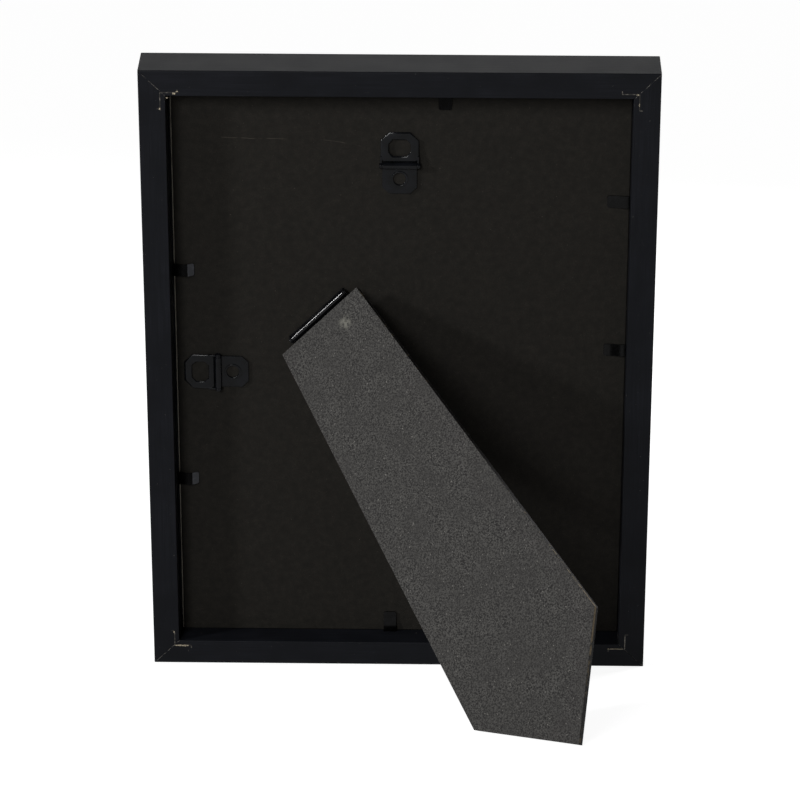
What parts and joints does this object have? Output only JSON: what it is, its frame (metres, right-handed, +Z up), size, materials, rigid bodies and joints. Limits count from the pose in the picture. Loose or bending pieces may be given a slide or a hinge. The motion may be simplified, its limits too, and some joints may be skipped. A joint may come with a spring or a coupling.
{
  "type": "easel back photo frame",
  "caption": "Black box-section photo frame on a folding diagonal easel leg, with hanging loops, bend-up tabs, backing board, plain insert and glass.",
  "frame": {"origin": "on the surface that the frame stands on, under the middle of its footprint", "axes": "+Z up, +X to the right seen from the picture side, +Y out of the back towards the leg"},
  "size_m": [0.203, 0.1764, 0.2553],
  "materials": {
    "black_moulding": "satin black foil on moulded fibreboard",
    "nail_steel": "bare spring steel",
    "black_tab_steel": "black oxide strip",
    "black_hanger_steel": "gloss black lacquer",
    "hinge_steel": "gloss black lacquer",
    "float_glass": "clear float glass",
    "insert_paper": "matt white insert",
    "dark_hardboard": "dark dyed hardboard",
    "raw_fibreboard": "sawn edge",
    "grey_facing_paper": "speckled grey facing"
  },
  "bodies": {
    "frame": {"bottom_rail": "black_moulding", "top_rail": "black_moulding", "left_rail": "black_moulding", "right_rail": "black_moulding", "v_nails": "nail_steel", "tab_anchors": "black_tab_steel", "top_hanger_plate": "black_hanger_steel", "side_hanger_plate": "black_hanger_steel", "hanger_pins": "black_hanger_steel", "hanger_rivets": "black_hanger_steel", "glass_pane": "float_glass", "print_sheet": "insert_paper", "backing_board": "dark_hardboard", "hinge_board_leaf": "hinge_steel", "hinge_board_rivets": "hinge_steel", "hinge_pin": "hinge_steel"},
    "leg": {"hinge_leg_leaf": "hinge_steel", "hinge_leg_rivets": "hinge_steel", "leg_core": "raw_fibreboard", "leg_inner_facing": "grey_facing_paper", "leg_outer_facing": "grey_facing_paper"},
    "top_loop": {"top_hanger_loop": "black_hanger_steel"},
    "side_loop": {"side_hanger_loop": "black_hanger_steel"},
    "top_tab_blade": {"top_tab": "black_tab_steel"},
    "bottom_tab_blade": {"bottom_tab": "black_tab_steel"},
    "left_upper_tab_blade": {"left_upper_tab": "black_tab_steel"},
    "left_lower_tab_blade": {"left_lower_tab": "black_tab_steel"},
    "right_upper_tab_blade": {"right_upper_tab": "black_tab_steel"},
    "right_lower_tab_blade": {"right_lower_tab": "black_tab_steel"}
  },
  "joints": [
    {"name": "leg_swing", "type": "hinge", "parent": "frame", "child": "leg", "pos_m": [0.0325, -0.02786, 0.14953], "axis": [0.7071, -0.2255, -0.6702], "range_deg": [-42.93, 0]},
    {"name": "top_loop_swing", "type": "hinge", "parent": "frame", "child": "top_loop", "pos_m": [0, -0.00776, 0.21145], "axis": [-1, 0, 0], "range_deg": [0, 178]},
    {"name": "side_loop_swing", "type": "hinge", "parent": "frame", "child": "side_loop", "pos_m": [0.0731, -0.03666, 0.12558], "axis": [0, 0.319, 0.9478], "range_deg": [0, 178]},
    {"name": "top_tab_bend", "type": "hinge", "parent": "frame", "child": "top_tab_blade", "pos_m": [-0.0178, 0.002, 0.24188], "axis": [1, 0, 0], "range_deg": [0, 75]},
    {"name": "bottom_tab_bend", "type": "hinge", "parent": "frame", "child": "bottom_tab_blade", "pos_m": [0.0038, -0.07496, 0.01318], "axis": [-1, 0, 0], "range_deg": [0, 75]},
    {"name": "left_upper_tab_bend", "type": "hinge", "parent": "frame", "child": "left_upper_tab_blade", "pos_m": [0.09065, -0.02276, 0.16828], "axis": [0, -0.319, -0.9478], "range_deg": [0, 75]},
    {"name": "left_lower_tab_bend", "type": "hinge", "parent": "frame", "child": "left_lower_tab_blade", "pos_m": [0.09065, -0.05246, 0.08005], "axis": [0, -0.319, -0.9478], "range_deg": [0, 75]},
    {"name": "right_upper_tab_bend", "type": "hinge", "parent": "frame", "child": "right_upper_tab_blade", "pos_m": [-0.09065, -0.013, 0.19728], "axis": [0, 0.319, 0.9478], "range_deg": [0, 75]},
    {"name": "right_lower_tab_bend", "type": "hinge", "parent": "frame", "child": "right_lower_tab_blade", "pos_m": [-0.09065, -0.03361, 0.13606], "axis": [0, 0.319, 0.9478], "range_deg": [0, 75]}
  ]
}
